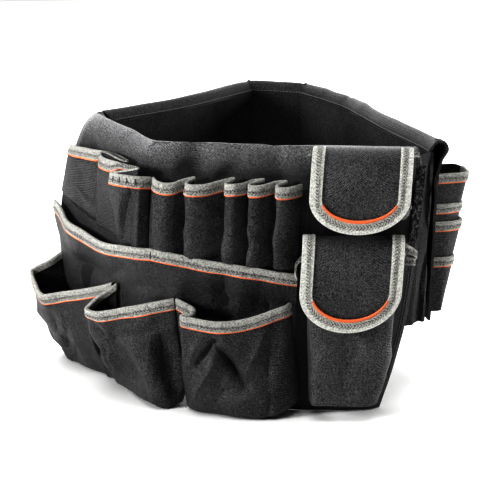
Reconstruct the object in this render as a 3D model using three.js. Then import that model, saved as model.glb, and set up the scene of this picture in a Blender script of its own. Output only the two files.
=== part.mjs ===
// Soft tool organiser that slips over the rim of a round bucket. A cloth ring carries a skirt that hangs
// inside the bucket and two skirts that hang outside it. Rows of pleated pockets, two flap pouches and a
// nest of tool sleeves are sewn on the outside, each edged with folded tape and a line of piping.
// Millimetres, +Z up, front towards -Y, standing on its hem at z = 0.

import * as THREE from 'three';

// Driving dimensions
const rimHeight = 222; // hem to the top of the folded rim
const panelCloth = 2; // wall of the outer skirts and the inner skirt
const pocketCloth = 1.6; // wall of pockets and flaps
const seamGap = 0.6; // clearance between a sewn edge and the cloth that carries it
const foldRadius = 8; // outside radius of the fold over the bucket's rim
const foldLeg = 26; // length of the fold's inner leg, from the top down
const legGap = 0.9; // clearance between the fold's leg and the inner skirt sewn to it
const skirtTuck = 13; // the inner skirt's top edge lies this far below the rim
const skirtHem = 69; // height of the inner skirt's lower edge
const skirtLean = 5; // how far the inner skirt leans in at its lower edge
const tapeWidth = 7; // visible width of the folded edge tape
const tapeCloth = 1; // one layer of the tape
const tapeGap = 0.65; // clearance inside the folded tape
const pipingWidth = 2.2;
const pipingThick = 1.6;

// Outline of the outer skirts from above, counter-clockwise from the slot on the left, one row for each
// bend of the cloth: where it passes at the rim, at half height and at the hem. A place along the outline
// is counted in rows, so 2.5 lies half way from row 2 to row 3.
const outline = [
  { bend: 'left slot', rim: [-129, 4], belly: [-155, 8], hem: [-130, 6] },
  { bend: 'left corner', rim: [-137, -20], belly: [-162, -22], hem: [-139, -20] },
  { bend: 'left fold', rim: [-112, -78], belly: [-132, -87], hem: [-114, -76] },
  { bend: 'front left', rim: [-80, -132], belly: [-89, -145], hem: [-71, -134] },
  { bend: 'loops', rim: [-38, -145], belly: [-44, -155], hem: [-38, -148] },
  { bend: 'front', rim: [5, -150], belly: [0, -160], hem: [0, -156] },
  { bend: 'pouch seam', rim: [50, -156], belly: [44, -163], hem: [40, -159] },
  { bend: 'pouch', rim: [92, -161], belly: [83, -164], hem: [74, -160] },
  { bend: 'front right', rim: [130, -162], belly: [120, -161], hem: [104, -156] },
  { bend: 'right slot', rim: [150, -148], belly: [144, -140], hem: [126, -134] },
  { bend: 'back right', rim: [157, -122], belly: [152, -112], hem: [148, -102] },
  { bend: 'right side', rim: [122, -30], belly: [129, -26], hem: [124, -24] },
  { bend: 'back crease 1', rim: [88, 62], belly: [98, 68], hem: [90, 66] },
  { bend: 'back crease 2', rim: [53, 137], belly: [60, 146], hem: [54, 140] },
  { bend: 'back crease 3', rim: [-4, 160], belly: [-6, 168], hem: [-5, 162] },
  { bend: 'left back', rim: [-66, 72], belly: [-84, 84], hem: [-68, 76] },
];
const frontEnds = { from: 0.35, to: 8.45 }; // the front skirt, from slot to slot
const backEnds = { from: 9.8, to: 15.72 }; // the back skirt, from slot to slot
const skirtLevels = [30, 76, 126, 170]; // heights between hem and fold where the skirts bend
const backCorner = { height: 68, reach: 2 }; // the back skirt's lower corner rises beside the right slot

// Upper row of tool loops, one row for each loop: where its two seams are, the heights of its mouth at
// the seams and of its floor, how far it stands out, and where along it the pleat stands furthest out.
const upperLoops = [
  { section: 'left', from: 0.62, to: 1.84, top: 206, floor: 130, depth: 6, peak: 0.5 },
  { section: 'left', from: 1.84, to: 2.34, top: 203, floor: 130, depth: 12, peak: 0.42 },
  { section: 'left', from: 2.34, to: 3.06, top: 197, floor: 128, depth: 14, peak: 0.28 },
  { section: 'right', from: 3.13, to: 3.8, top: 195, floor: 127, depth: 9, peak: 0.3 },
  { section: 'right', from: 3.8, to: 4.5, top: 195, floor: 125, depth: 10, peak: 0.26 },
  { section: 'right', from: 4.5, to: 4.93, top: 195, floor: 122, depth: 10, peak: 0.3 },
  { section: 'right', from: 4.93, to: 5.39, top: 195, floor: 120, depth: 10, peak: 0.3 },
  { section: 'right', from: 5.39, to: 5.88, top: 195, floor: 118, depth: 10, peak: 0.3 },
];
const loopSeam = 0.04; // half the width of the seam between two loops, in outline rows
const upperDroop = 4; // the mouth hangs lower where it stands out

// Mouths of the larger pockets, one row for each bend of the mouth: place along the outline, how far the
// cloth stands out from the skirt there, and the height of the mouth.
const middleMouths = {
  middle_pocket_left: [
    { at: 0.58, out: 7, top: 152 }, { at: 0.9, out: 8, top: 148 }, { at: 1.4, out: 12, top: 140 },
    { at: 2.1, out: 14, top: 134 }, { at: 2.6, out: 11, top: 136 }, { at: 3.19, out: 8, top: 138 },
  ],
  middle_pocket_right: [
    { at: 3.3, out: 8, top: 138 }, { at: 3.7, out: 9, top: 133 }, { at: 4.4, out: 10, top: 128 },
    { at: 5.2, out: 9, top: 124 }, { at: 5.86, out: 7, top: 121 },
  ],
};
// The cargo pockets also state how far their floor stands out.
const cargoMouths = {
  cargo_pocket_1: [
    { at: 0.84, out: 2.5, top: 91, foot: 2 }, { at: 0.87, out: 12, top: 86, foot: 5 },
    { at: 1.0, out: 23, top: 80, foot: 8 }, { at: 1.36, out: 28, top: 75, foot: 10 },
    { at: 1.62, out: 19, top: 78, foot: 10 }, { at: 1.9, out: 10, top: 83, foot: 8 },
    { at: 2.2, out: 5, top: 87, foot: 5 }, { at: 2.42, out: 2.5, top: 91, foot: 2 },
  ],
  cargo_pocket_2: [
    { at: 2.58, out: 2.5, top: 94, foot: 2 }, { at: 2.49, out: 14, top: 86, foot: 8 },
    { at: 2.38, out: 25, top: 78, foot: 12 }, { at: 2.48, out: 28, top: 76, foot: 14 },
    { at: 2.8, out: 24, top: 78, foot: 15 }, { at: 3.1, out: 17, top: 83, foot: 14 },
    { at: 3.4, out: 9, top: 89, foot: 10 }, { at: 3.62, out: 2.5, top: 96, foot: 2 },
  ],
  cargo_pocket_3: [
    { at: 3.78, out: 2.5, top: 96, foot: 2 }, { at: 3.79, out: 10, top: 91, foot: 6 },
    { at: 3.86, out: 18, top: 87, foot: 10 }, { at: 4.2, out: 21, top: 85, foot: 13 },
    { at: 4.8, out: 22, top: 85, foot: 17 }, { at: 5.4, out: 19, top: 90, foot: 16 },
    { at: 5.7, out: 14, top: 94, foot: 10 }, { at: 5.78, out: 2.5, top: 96, foot: 2 },
  ],
};
const pouchMouths = {
  upper_pouch: [
    { at: 6.03, out: 2, top: 196 }, { at: 6.04, out: 9, top: 196 }, { at: 6.12, out: 16, top: 196 },
    { at: 6.6, out: 19, top: 196 }, { at: 7.3, out: 19, top: 196 }, { at: 7.76, out: 16, top: 196 },
    { at: 7.86, out: 9, top: 196 }, { at: 7.88, out: 2, top: 196 },
  ],
  lower_pouch: [
    { at: 6.0, out: 2, top: 140 }, { at: 6.01, out: 12, top: 140 }, { at: 6.1, out: 20, top: 140 },
    { at: 6.6, out: 22, top: 140 }, { at: 7.3, out: 22, top: 140 }, { at: 7.82, out: 20, top: 140 },
    { at: 7.93, out: 12, top: 140 }, { at: 7.94, out: 2, top: 140 },
  ],
};
// How a pocket's wall hangs from its mouth (drop 0) to its floor (drop 1). Reach scales how far it stands
// out, and settle brings that towards the floor's own reach.
const cargoDrape = [
  { drop: 0, reach: 1, settle: 0 }, { drop: 0.45, reach: 1.04, settle: 0.3 },
  { drop: 0.84, reach: 1, settle: 0.8 }, { drop: 1, reach: 1, settle: 1 },
];
const pouchDrape = [{ drop: 0, reach: 1 }, { drop: 0.5, reach: 1.12 }, { drop: 1, reach: 1.06 }];
const loopDrape = [{ drop: 0, reach: 1 }, { drop: 0.5, reach: 0.75 }, { drop: 1, reach: 0.3 }];
const middleDrape = [
  { drop: 0, reach: 1 }, { drop: 0.1, reach: 0.9 }, { height: 106, reach: 0 }, { height: 66, reach: 0 },
  { drop: 1, reach: 0 },
];
const sleeveDrape = [
  { drop: 0, reach: 1 }, { drop: 0.3, reach: 0.8 }, { drop: 0.6, reach: 0.55 }, { drop: 1, reach: 0.26 },
];
const cargoFloor = 0;
const cargoBase = 5; // the cargo pockets are sewn on over the middle pockets
const pouchFloors = { upper_pouch: 170, lower_pouch: 14 };
const middleFloor = 30; // the middle pockets lie flat behind the cargo pockets and end here

// Flaps over the pouches, one row each: middle along the outline, half width, height of the top, where the
// straight sides end, how deep the round end hangs, and the fall of the cloth from its top to its front as
// distances out from the skirt and down from the top.
const flaps = {
  upper_flap: {
    middle: 6.97, halfWidth: 40.5, top: 222.6, sides: 186, round: 30,
    hinge: [[-8.5, 0.1]], fall: [[2, 0.2], [10, 3.6], [18, 10.5], [23.5, 19.5], [26, 29]],
  },
  lower_flap: {
    middle: 6.95, halfWidth: 40.7, top: 154, sides: 112, round: 33,
    hinge: [[3.4, 8], [5, 2.4]], fall: [[12, 0.5], [20, 3], [26, 10], [28.5, 20]],
  },
};
const flapRun = 41; // millimetres along the cloth for one outline row at the pouches
const flapTape = 10;
const flapPiping = 3;

// Nested tool sleeves on the back skirt beside the right slot, one row for each mouth from the top one.
const sleeves = [
  { name: 'tool_sleeve_1', top: 192, out: 25 },
  { name: 'tool_sleeve_2', top: 166, out: 23 },
  { name: 'tool_sleeve_3', top: 150, out: 21 },
  { name: 'tool_sleeve_4', top: 119, out: 16.5 },
];
const sleeveEnds = { from: 10.13, to: 10.46 };
const sleeveSpread = { from: -0.062, to: 0.036 }; // each lower sleeve reaches round the one above it
const sleeveFloor = 86;
const hookTape = { from: 8.1, to: 8.36, low: 146, high: 208, thick: 1.6 };
const hingeTape = { from: 5.86, to: 8.2, thick: 1 }; // short tape along the rim under the upper flap

// Cloth colours
const blackCloth = { color: 0x1b1b1c, roughness: 0.92, metalness: 0 };
const liningCloth = { color: 0x131314, roughness: 0.95, metalness: 0 };
const greyTape = { color: 0x9a9a94, roughness: 0.9, metalness: 0 };
const orangeCord = { color: 0xd2541b, roughness: 0.75, metalness: 0 };
const hookCloth = { color: 0x0e0e0f, roughness: 1, metalness: 0 };

// Point of a closed smooth curve through the outline's rows, at a place counted in rows.
function alongOutline(level, at) {
  const count = outline.length;
  const whole = Math.floor(at);
  const t = at - whole;
  const row = (step) => outline[(((whole + step) % count) + count) % count][level];
  const blend = (a, b, c, d) => 0.5 * (2 * b + (c - a) * t + (2 * a - 5 * b + 4 * c - d) * t * t
    + (3 * b - a - 3 * c + d) * t * t * t);
  const [a, b, c, d] = [row(-1), row(0), row(1), row(2)];
  return new THREE.Vector2(blend(a[0], b[0], c[0], d[0]), blend(a[1], b[1], c[1], d[1]));
}

// Outside of the outer skirts in plan, bulging through the belly between rim and hem.
function skirtPlan(at, z) {
  const t = Math.min(z / rimHeight, 1);
  const point = alongOutline('rim', at).multiplyScalar(t * (2 * t - 1));
  point.addScaledVector(alongOutline('belly', at), 4 * t * (1 - t));
  return point.addScaledVector(alongOutline('hem', at), (1 - t) * (1 - 2 * t));
}

// Plan of the rim, which the inner skirt hangs from.
const rimPlan = (at) => alongOutline('rim', at);

// Unit normal in plan that points away from the bag.
function outwards(plan, at, z) {
  const step = 0.002;
  const run = plan(at + step, z).sub(plan(at - step, z)).normalize();
  return new THREE.Vector2(run.y, -run.x);
}

// Point that lies a distance out from a plan, at a height.
function onWall(at, z, out, plan = skirtPlan) {
  const spot = plan(at, z).addScaledVector(outwards(plan, at, z), out);
  return new THREE.Vector3(spot.x, spot.y, z);
}

// Closed outline of a wall: a profile in (out, height) and the same profile moved off to its left.
function thicken(profile, thickness) {
  const moved = profile.map((point, i) => {
    const before = profile[Math.max(i - 1, 0)];
    const after = profile[Math.min(i + 1, profile.length - 1)];
    const run = after.clone().sub(before).normalize();
    return new THREE.Vector2(point.x - run.y * thickness, point.y + run.x * thickness);
  });
  return [...profile, ...moved.reverse()];
}

// Closed solid through a row of sections with equal counts of points. Flat outlines close the two ends,
// or the last section joins the first.
function loft(sections, endOutlines) {
  const around = sections[0].length;
  const positions = sections.flat().flatMap((point) => [point.x, point.y, point.z]);
  const faces = [];
  const spans = endOutlines ? sections.length - 1 : sections.length;
  for (let k = 0; k < spans; k += 1) {
    const here = k * around;
    const next = ((k + 1) % sections.length) * around;
    for (let m = 0; m < around; m += 1) {
      const after = (m + 1) % around;
      faces.push([here + m, next + m, next + after], [here + m, next + after, here + after]);
    }
  }
  if (endOutlines) {
    const clockwise = THREE.ShapeUtils.isClockWise(endOutlines[0]);
    const last = (sections.length - 1) * around;
    for (const [outlineFlat, offset] of [[endOutlines[0], 0], [endOutlines[1], last]]) {
      for (const [a, b, c] of THREE.ShapeUtils.triangulateShape(outlineFlat, [])) {
        const turned = (offset === 0) !== clockwise;
        faces.push(turned ? [a + offset, b + offset, c + offset] : [c + offset, b + offset, a + offset]);
      }
    }
  }
  const geometry = new THREE.BufferGeometry();
  geometry.setAttribute('position', new THREE.Float32BufferAttribute(positions, 3));
  geometry.setIndex(faces.flat());
  return facingOut(geometry);
}

// Turns every face round when the solid's signed volume shows that they point in.
function facingOut(geometry) {
  const index = geometry.index.array;
  const corners = geometry.attributes.position;
  const point = (i) => new THREE.Vector3().fromBufferAttribute(corners, i);
  let volume = 0;
  for (let i = 0; i < index.length; i += 3) {
    volume += point(index[i]).dot(point(index[i + 1]).cross(point(index[i + 2])));
  }
  if (volume < 0) {
    for (let i = 0; i < index.length; i += 3) {
      [index[i + 1], index[i + 2]] = [index[i + 2], index[i + 1]];
    }
  }
  geometry.computeVertexNormals();
  return geometry;
}

const bag = new THREE.Group();

function addPiece(name, geometry, finish) {
  const mesh = new THREE.Mesh(geometry, new THREE.MeshStandardMaterial(finish));
  mesh.name = name;
  bag.add(mesh);
}

// Even places from one end to the other.
function places(from, to, count) {
  return Array.from({ length: count }, (unused, i) => from + ((to - from) * i) / (count - 1));
}

// Outer skirt whose top folds over the bucket's rim and comes down as a short inner leg.
function skirtProfile(hem) {
  const middle = -foldRadius; // the fold's centre lies this far in from the skirt's outside
  const heights = [hem, ...skirtLevels.map((z) => Math.max(z, hem + z / 8)), rimHeight - foldRadius];
  const profile = heights.map((z) => new THREE.Vector2(0, z));
  for (const turn of places(0, Math.PI, 5).slice(1)) {
    const across = middle + foldRadius * Math.cos(turn);
    profile.push(new THREE.Vector2(across, rimHeight - foldRadius + foldRadius * Math.sin(turn)));
  }
  profile.push(new THREE.Vector2(2 * middle, rimHeight - foldLeg));
  return thicken(profile, panelCloth);
}

function outerSkirt(stations, hemAt) {
  const profiles = stations.map((at) => ({ at, flat: skirtProfile(hemAt(at)) }));
  const sections = profiles.map(({ at, flat }) => flat.map((spot) => foldedPoint(at, spot)));
  return loft(sections, [profiles[0].flat, profiles.at(-1).flat]);
}

// The fold and its leg follow the plan of the rim, and the skirt below them follows its own plan.
function foldedPoint(at, spot) {
  const height = Math.max(spot.y, 0);
  return onWall(at, height, spot.x, spot.x < -panelCloth - 1 ? rimPlan : skirtPlan);
}

// Inner skirt: a closed ring that hangs from the fold's leg and leans in a little.
function innerSkirt(ring) {
  const outside = -2 * foldRadius + panelCloth + legGap + panelCloth;
  const levels = [rimHeight - skirtTuck, (rimHeight + skirtHem) / 2, skirtHem];
  const lean = (z) => (skirtLean * (rimHeight - z)) / (rimHeight - skirtHem);
  return loft(ring.map((at) => [
    ...levels.map((z) => onWall(at, z, outside - lean(z), rimPlan)),
    ...levels.toReversed().map((z) => onWall(at, z, outside - panelCloth - lean(z), rimPlan)),
  ]));
}

// Smooth run of stations through the rows of a mouth.
function smoothMouth(rows, floor, steps) {
  const through = (corner) => new THREE.CatmullRomCurve3(rows.map(corner), false, 'centripetal')
    .getPoints(steps);
  const feet = through((row) => new THREE.Vector3(row.at * flapRun, row.out, row.foot ?? row.out));
  const lips = through((row) => new THREE.Vector3(row.at * flapRun, row.out, row.top));
  return lips.map(({ x, y, z }, k) => ({ at: x / flapRun, out: y, top: z, foot: feet[k].z, floor }));
}

// Pocket wall as levels of inside and outside points, from the mouth to the floor. The cloth that the
// pocket lies on is base millimetres out from the skirt.
function pocketWall(mouth, drape, base, least) {
  const inside = drape.map(({ drop, height, reach, settle = 0 }) => mouth.map((station) => {
    const { at, out, top, floor } = station;
    const z = height ?? top + (floor + (drop === 1 ? pocketCloth : 0) - top) * drop;
    const stand = settle ? out + (station.foot - out) * settle : out;
    return onWall(at, z, base + Math.max(stand * reach, least));
  }));
  const normals = inside.map((row) => row.map((unused, k) => {
    const run = row[Math.min(k + 1, row.length - 1)].clone().sub(row[Math.max(k - 1, 0)]).setZ(0).normalize();
    return new THREE.Vector3(run.y, -run.x, 0);
  }));
  const outside = inside.map((row, level) => row.map((spot, k) => {
    const moved = spot.clone().addScaledVector(normals[level][k], pocketCloth);
    return level === drape.length - 1 ? moved.setZ(mouth[k].floor) : moved;
  }));
  return { inside, outside, normals, mouth };
}

// Pocket from one station of its wall to another, with a floor that runs in to the skirt behind it.
function pocketSolid({ inside, outside, mouth }, first = 0, last = mouth.length - 1) {
  const roots = places(mouth[first].at, mouth[last].at, last - first + 1);
  const sections = roots.map((at, i) => {
    const k = first + i;
    return [
      ...inside.map((row) => row[k]),
      onWall(at, mouth[k].floor + pocketCloth, seamGap),
      onWall(at, mouth[k].floor, seamGap),
      ...outside.map((row) => row[k]).reverse(),
    ];
  });
  // The end's outline, laid flat along the way that the wall leaves the cloth behind it.
  const endOutline = (k, root) => {
    const way = inside.at(-1)[k].clone().sub(root).setZ(0).normalize();
    const along = (point) => point.clone().sub(root).dot(way);
    return [
      ...inside.map((row) => new THREE.Vector2(along(row[k]), row[k].z)),
      new THREE.Vector2(0, mouth[k].floor + pocketCloth),
      new THREE.Vector2(0, mouth[k].floor),
      ...outside.map((row, level) => new THREE.Vector2(along(inside[level][k]) + pocketCloth, row[k].z))
        .reverse(),
    ];
  };
  const rootAt = inside.length + 1;
  return loft(sections, [endOutline(first, sections[0][rootAt]), endOutline(last, sections.at(-1)[rootAt])]);
}

// Inside and outside points of a pocket wall some way down from its mouth.
function belowMouth({ inside, outside }, k, down) {
  const share = down / (inside[0][k].z - inside[1][k].z);
  return [inside, outside].map((rows) => rows[0][k].clone().lerp(rows[1][k], share));
}

// Tape folded over a pocket's mouth, in a channel section that clears the cloth.
function mouthTape(wall, first = 0, last = wall.mouth.length - 1) {
  const raised = (point, lift) => point.clone().setZ(point.z + lift);
  const sections = [];
  for (let k = first; k <= last; k += 1) {
    const normal = wall.normals[0][k];
    const [inTop, outTop] = belowMouth(wall, k, 0);
    const [inLow, outLow] = belowMouth(wall, k, tapeWidth);
    const off = (point, distance) => point.clone().addScaledVector(normal, distance);
    sections.push([
      raised(off(inTop, -tapeGap - tapeCloth), tapeGap + tapeCloth), off(inLow, -tapeGap - tapeCloth),
      off(inLow, -tapeGap), raised(off(inTop, -tapeGap), tapeGap),
      raised(off(outTop, tapeGap), tapeGap), off(outLow, tapeGap),
      off(outLow, tapeGap + tapeCloth), raised(off(outTop, tapeGap + tapeCloth), tapeGap + tapeCloth),
    ]);
  }
  const half = tapeGap + tapeCloth;
  const flat = [[0, 10], [0, 0], [tapeCloth, 0], [tapeCloth, 9], [half + 2, 9], [half + 2, 0],
    [half + 3, 0], [half + 3, 10]].map(([x, y]) => new THREE.Vector2(x, y));
  return loft(sections, [flat, flat]);
}

// Piping along the lower edge of the tape, on the outside of the pocket.
function mouthPiping(wall, first = 0, last = wall.mouth.length - 1) {
  const sections = [];
  for (let k = first; k <= last; k += 1) {
    const normal = wall.normals[0][k];
    const off = (down, distance) => belowMouth(wall, k, down)[1].addScaledVector(normal, distance);
    const high = tapeWidth + 0.8;
    const low = high + pipingWidth;
    sections.push([off(high, tapeGap), off(low, tapeGap), off(low, tapeGap + pipingThick),
      off(high, tapeGap + pipingThick)]);
  }
  const flat = [[0, 1], [0, 0], [1, 0], [1, 1]].map(([x, y]) => new THREE.Vector2(x, y));
  return loft(sections, [flat, flat]);
}

// Stations of a tool loop from seam to seam. Its pleat rises steeply to the peak and runs back slowly.
function loopStations({ from, to, top, floor, depth, peak }) {
  const seamOut = 2.4;
  const ease = (t) => t * t * (3 - 2 * t);
  const shares = [0, peak * 0.5, peak, (1 + 2 * peak) / 3, (2 + peak) / 3, 0.9, 1];
  return shares.map((share) => {
    const swell = share < peak ? ease(share / peak) : ease((1 - share) / (1 - peak));
    const at = from + loopSeam + (to - from - 2 * loopSeam) * share;
    return { at, out: seamOut + (depth - seamOut) * swell, top: top - upperDroop * swell, floor };
  });
}

function addUpperRow() {
  for (const section of ['left', 'right']) {
    const loops = upperLoops.filter((loop) => loop.section === section);
    const strip = loops.flatMap(loopStations);
    const wall = pocketWall(strip, loopDrape, seamGap, 2.4);
    const perLoop = strip.length / loops.length;
    loops.forEach((loop, i) => {
      const name = `tool_loop_${upperLoops.indexOf(loop) + 1}`;
      addPiece(name, pocketSolid(wall, i * perLoop, (i + 1) * perLoop - 1), blackCloth);
    });
    addPiece(`loop_tape_${section}`, mouthTape(wall), greyTape);
    addPiece(`loop_piping_${section}`, mouthPiping(wall), orangeCord);
  }
}

function addMiddleRow() {
  for (const [name, rows] of Object.entries(middleMouths)) {
    const wall = pocketWall(smoothMouth(rows, middleFloor, 12), middleDrape, seamGap, 1.4);
    addPiece(name, pocketSolid(wall), blackCloth);
    addPiece(name.replace('pocket', 'tape'), mouthTape(wall), greyTape);
    addPiece(name.replace('pocket', 'piping'), mouthPiping(wall), orangeCord);
  }
}

function addCargoRow() {
  for (const [name, rows] of Object.entries(cargoMouths)) {
    const wall = pocketWall(smoothMouth(rows, cargoFloor, 13), cargoDrape, cargoBase, 2);
    addPiece(name, pocketSolid(wall), blackCloth);
    addPiece(name.replace('pocket', 'tape'), mouthTape(wall), greyTape);
    addPiece(name.replace('pocket', 'piping'), mouthPiping(wall), orangeCord);
  }
}

function addPouches() {
  for (const [name, rows] of Object.entries(pouchMouths)) {
    const wall = pocketWall(smoothMouth(rows, pouchFloors[name], 11), pouchDrape, seamGap, 2);
    addPiece(name, pocketSolid(wall), blackCloth);
    addPiece(`${name}_tape`, mouthTape(wall), greyTape);
  }
}

// Point of a flap: across from its middle line, at a height, and out from the skirt at that line.
function onFlap(flap, across, z, out) {
  const low = Math.min(z, rimHeight);
  const normal = outwards(skirtPlan, flap.middle, low);
  const spot = skirtPlan(flap.middle, low).addScaledVector(normal, out);
  return new THREE.Vector3(spot.x - normal.y * across, spot.y + normal.x * across, z);
}

// How far out a flap's inside lies at a height, read along its fall.
function flapOut({ fall, top }, z) {
  const below = fall.findIndex(([, down]) => top - down <= z);
  const next = fall.findIndex(([, down]) => top - down < z);
  if (next < 0) return fall.at(-1)[0];
  if (next === 0) return fall[0][0];
  const [[outA, downA], [outB, downB]] = [fall[next - 1], fall[next]];
  return below < 0 ? outB : outA + ((outB - outA) * (top - z - downA)) / (downB - downA);
}

// Flap cloth: sewn on at its hinge, falling over the pouch's mouth and hanging in front with a round end.
function flapCloth(flap) {
  const inset = flapTape + tapeGap;
  const half = flap.halfWidth - inset;
  const turns = places(0.06, Math.PI - 0.06, 11);
  const lowest = flap.fall.at(-1);
  const profiles = turns.map((turn) => {
    const across = -half * Math.cos(turn);
    const end = flap.sides - (flap.round - inset) * Math.sin(turn);
    const fold = [...flap.hinge, ...flap.fall].map(([out, down]) => new THREE.Vector2(out, flap.top - down));
    const front = flap.top - lowest[1];
    const hang = [0.5, 1].map((t) => new THREE.Vector2(lowest[0], front + (end - front) * t));
    return { across, flat: thicken([...fold, ...hang], pocketCloth) };
  });
  const sections = profiles.map(({ across, flat }) => flat.map((spot) => onFlap(flap, across, spot.y, spot.x)));
  return loft(sections, [profiles[0].flat, profiles.at(-1).flat]);
}

// Places round a flap's free edge: down the left side, round the end and up the right side.
function flapEdge(flap, inset) {
  const half = flap.halfWidth - inset;
  const sides = flap.fall.map(([, down]) => flap.top - down);
  return [
    ...sides.map((z) => [-half, z]),
    ...places(0, Math.PI, 12).map((turn) => [
      -half * Math.cos(turn), flap.sides - (flap.round - inset) * Math.sin(turn)]),
    ...sides.toReversed().map((z) => [half, z]),
  ];
}

// Band that follows a flap's edge between two insets, and between two distances off its inside face.
function flapBand(flap, insets, offs, skip = 0) {
  const [outer, inner] = insets.map((inset) => flapEdge(flap, inset).slice(skip, skip ? -skip : undefined));
  const place = ([across, z], off) => onFlap(flap, across, z, flapOut(flap, z) + off);
  const sections = outer.map((edge, i) => [
    place(edge, offs[0]), place(inner[i], offs[0]), place(inner[i], offs[1]), place(edge, offs[1]),
  ]);
  const flat = [[0, 0], [1, 0], [1, 1], [0, 1]].map(([x, y]) => new THREE.Vector2(x, y));
  return loft(sections, [flat, flat]);
}

function addFlaps() {
  for (const [name, flap] of Object.entries(flaps)) {
    addPiece(name, flapCloth(flap), blackCloth);
    addPiece(`${name}_tape`, flapBand(flap, [0, flapTape], [-0.6, pocketCloth + 0.8]), greyTape);
    const offs = [pocketCloth + 1.2, pocketCloth + 2.4];
    const piping = flapBand(flap, [flapTape - 0.6, flapTape - 0.6 + flapPiping], offs, flap.fall.length + 2);
    addPiece(`${name}_piping`, piping, orangeCord);
  }
}

// Nested sleeves: each lower mouth lies one layer further out than the sleeve above it.
function addSleeves() {
  sleeves.forEach(({ name, top, out }, layer) => {
    const from = sleeveEnds.from + layer * sleeveSpread.from;
    const to = sleeveEnds.to + layer * sleeveSpread.to;
    const rows = [
      { at: from, out: 2, top }, { at: from + 0.03, out: 0.6 * out, top }, { at: from + 0.14, out, top },
      { at: to - 0.14, out, top }, { at: to - 0.03, out: 0.6 * out, top }, { at: to, out: 2, top },
    ];
    const mouth = smoothMouth(rows, sleeveFloor - layer * 5, 8);
    const wall = pocketWall(mouth, sleeveDrape, seamGap + layer * 3, 2);
    addPiece(name, pocketSolid(wall), blackCloth);
    addPiece(name.replace('sleeve', 'sleeve_tape'), mouthTape(wall), greyTape);
    addPiece(name.replace('sleeve', 'sleeve_piping'), mouthPiping(wall), orangeCord);
  });
}

function hookStrip({ from, to, low, high, thick }) {
  const levels = places(low, high, 4);
  const flat = [
    ...levels.map((z) => new THREE.Vector2(seamGap, z)),
    ...levels.toReversed().map((z) => new THREE.Vector2(seamGap + thick, z)),
  ];
  const sections = places(from, to, 4).map((at) => flat.map((spot) => onWall(at, spot.y, spot.x)));
  return loft(sections, [flat, flat]);
}

// Tape on the outer shoulder of the rim's fold.
function hingeStrip({ from, to, thick }) {
  const turns = places(0, Math.PI / 4, 3);
  const arc = (radius) => turns.map((turn) => new THREE.Vector2(
    radius * Math.cos(turn) - foldRadius, rimHeight - foldRadius + radius * Math.sin(turn)));
  const flat = [...arc(foldRadius + seamGap), ...arc(foldRadius + seamGap + thick).reverse()];
  const sections = places(from, to, 10).map((at) => flat.map((spot) => onWall(at, spot.y, spot.x)));
  return loft(sections, [flat, flat]);
}

// Hem of the back skirt: level with the front, and rising in a curve beside the right slot.
function backHem(at) {
  const share = Math.max(1 - (at - backEnds.from) / backCorner.reach, 0);
  return backCorner.height * share * share * (3 - 2 * share);
}

const frontStations = places(frontEnds.from, frontEnds.to, 30);
const backStations = places(backEnds.from, backEnds.to, 24);
const slotStations = { right: [8.8, 9.13, 9.46], left: [16] };
const ring = [...frontStations, ...slotStations.right, ...backStations, ...slotStations.left];
addPiece('inner_skirt', innerSkirt(ring), liningCloth);
addPiece('front_skirt', outerSkirt(frontStations, () => 0), blackCloth);
addPiece('back_skirt', outerSkirt(backStations, backHem), blackCloth);
addUpperRow();
addMiddleRow();
addCargoRow();
addPouches();
addFlaps();
addSleeves();
addPiece('hook_strip', hookStrip(hookTape), hookCloth);
addPiece('hinge_tape', hingeStrip(hingeTape), greyTape);

// The origin is the middle of the bag's footprint, on the surface that it stands on.
const box = new THREE.Box3().setFromObject(bag);
bag.position.set(-(box.min.x + box.max.x) / 2, -(box.min.y + box.max.y) / 2, -box.min.z);

export default bag;
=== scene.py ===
import math

import bpy
import numpy as np
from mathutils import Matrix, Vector


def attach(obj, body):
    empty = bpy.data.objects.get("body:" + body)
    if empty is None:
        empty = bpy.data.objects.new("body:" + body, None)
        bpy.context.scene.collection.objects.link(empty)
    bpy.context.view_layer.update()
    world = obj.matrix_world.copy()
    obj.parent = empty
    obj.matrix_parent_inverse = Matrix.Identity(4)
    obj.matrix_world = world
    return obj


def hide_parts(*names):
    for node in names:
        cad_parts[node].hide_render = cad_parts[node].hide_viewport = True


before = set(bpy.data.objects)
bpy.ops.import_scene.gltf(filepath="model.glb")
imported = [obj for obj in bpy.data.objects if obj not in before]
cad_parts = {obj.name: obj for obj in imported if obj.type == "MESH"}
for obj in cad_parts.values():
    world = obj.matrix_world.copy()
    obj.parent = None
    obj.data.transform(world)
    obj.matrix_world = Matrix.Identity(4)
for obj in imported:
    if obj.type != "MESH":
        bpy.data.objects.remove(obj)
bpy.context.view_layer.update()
bpy.ops.object.select_all(action="DESELECT")
print("frame loaded:", len(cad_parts), "nodes")

# Camera, floor and light, in metres
studio = {
    "eye": (0.0049, -1.3866, 0.490), "aim": (0.0049, 0.0134, 0.093), "lens": 115.2,
    "floorColour": (0.96, 0.96, 0.955, 1), "floorSize": 20.0,
    "skyColour": (1.0, 1.0, 1.0, 1), "skyStrength": 0.1, "contrast": 0.54,
    "lamps": [
        {"name": "leftLamp", "place": (-1.44, -0.78, 0.52), "aim": (0, -0.05, 0.12), "size": 0.4,
         "watts": 36},
        {"name": "rightLamp", "place": (1.6, 0.0, 0.5), "aim": (0, 0, 0.1), "size": 0.4, "watts": 30},
        {"name": "backLamp", "place": (-0.2, 2.1, 1.15), "aim": (0, 0, 0.15), "size": 2.4, "watts": 74},
    ],
    "sun": {"place": (-0.1, -0.3, 1.9), "aim": (0, 0, 0), "spread": 50.0, "strength": 2.5},
}


def pointAt(thing, place, aim):
    thing.location = place
    thing.rotation_euler = (Vector(aim) - Vector(place)).to_track_quat("-Z", "Y").to_euler()


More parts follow.
